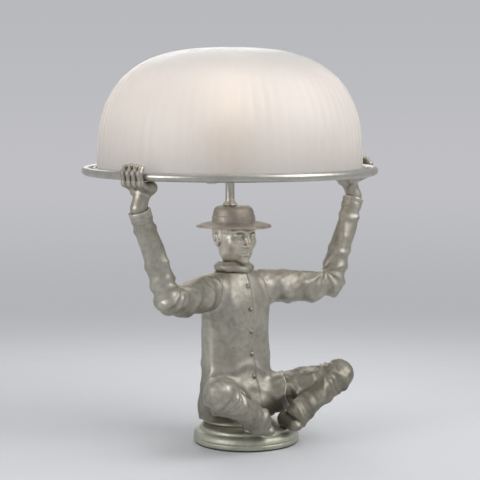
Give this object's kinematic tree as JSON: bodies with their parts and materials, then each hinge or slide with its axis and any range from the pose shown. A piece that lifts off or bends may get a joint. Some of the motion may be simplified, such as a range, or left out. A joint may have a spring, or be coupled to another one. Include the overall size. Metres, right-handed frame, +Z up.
{
  "type": "figural table lamp",
  "caption": "Table lamp: a seated figure in hat and tunic holds up a ring with a frosted dome glass over a bulb; lift-off shade, rotary switch.",
  "frame": {"origin": "on the floor, on the axis of the lamp pipe, which is also the middle of the ring", "axes": "+Z up along the lamp pipe, -Y the way the figure faces, +X to the figure's left"},
  "size_m": [0.2992, 0.292, 0.387],
  "materials": {
    "casting": "satin, dark oxidised patina, rubbed lighter on raised places",
    "ring": "satin, oxidised",
    "turned_metal": "satin",
    "steel": "zinc plated",
    "iron": "rough",
    "felt": "felt",
    "gasket": "soft, translucent",
    "shade_glass": "frosted, finely fluted",
    "bulb_glass": "frosted",
    "glow": "phosphor",
    "socket_brass": "drawn, lacquered",
    "cap_metal": "drawn",
    "phenolic": "moulded",
    "porcelain": "glazed",
    "paper": "pressed board",
    "lead": "wire cover"
  },
  "bodies": {
    "root": {"base_casting": "casting", "seat_block": "casting", "torso_casting": "casting", "head_casting": "casting", "collar": "casting", "hat_casting": "casting", "left_arm": "casting", "right_arm": "casting", "left_leg": "casting", "right_leg": "casting", "hat_nut": "turned_metal", "stem_sleeve": "turned_metal", "shade_ring": "ring", "ring_spider": "turned_metal", "spider_nut": "steel", "ring_screws": "steel", "pipe_nut": "steel", "pipe_washer": "steel", "lamp_pipe": "steel", "cover_screws": "steel", "foot_screws": "steel", "shoulder_studs": "steel", "hip_studs": "steel", "base_cover": "steel", "earth_screw": "socket_brass", "inlet_nut": "socket_brass", "inlet_bush": "phenolic", "ballast_weight": "iron", "felt_pad": "felt", "terminal_block": "porcelain", "terminal_screws": "socket_brass", "ring_gasket": "gasket", "socket_cap": "socket_brass", "cap_screw": "steel", "socket_shell": "socket_brass", "socket_liner": "paper", "socket_core": "phenolic", "screw_shell": "cap_metal", "contact_spring": "socket_brass", "wire_screws": "socket_brass", "lead_live": "lead", "lead_neutral": "lead"},
    "shade": {"shade_glass": "shade_glass"},
    "bulb": {"bulb_globe": "bulb_glass", "bulb_cap": "cap_metal", "bulb_insulator": "phenolic", "bulb_contact": "steel", "filament_mount": "glow"},
    "switch": {"switch_shaft": "steel", "switch_knob": "phenolic"}
  },
  "joints": [
    {"name": "shade_lift", "type": "slide", "parent": "root", "child": "shade", "axis": [0, 0, 1], "range_m": [0, 0.12]},
    {"name": "bulb_out", "type": "slide", "parent": "root", "child": "bulb", "axis": [0, 0, 1], "range_m": [0, 0.015]},
    {"name": "switch_turn", "type": "hinge", "parent": "root", "child": "switch", "pos_m": [0, 0.02, 0.2855], "axis": [0, 1, 0], "continuous": true}
  ]
}
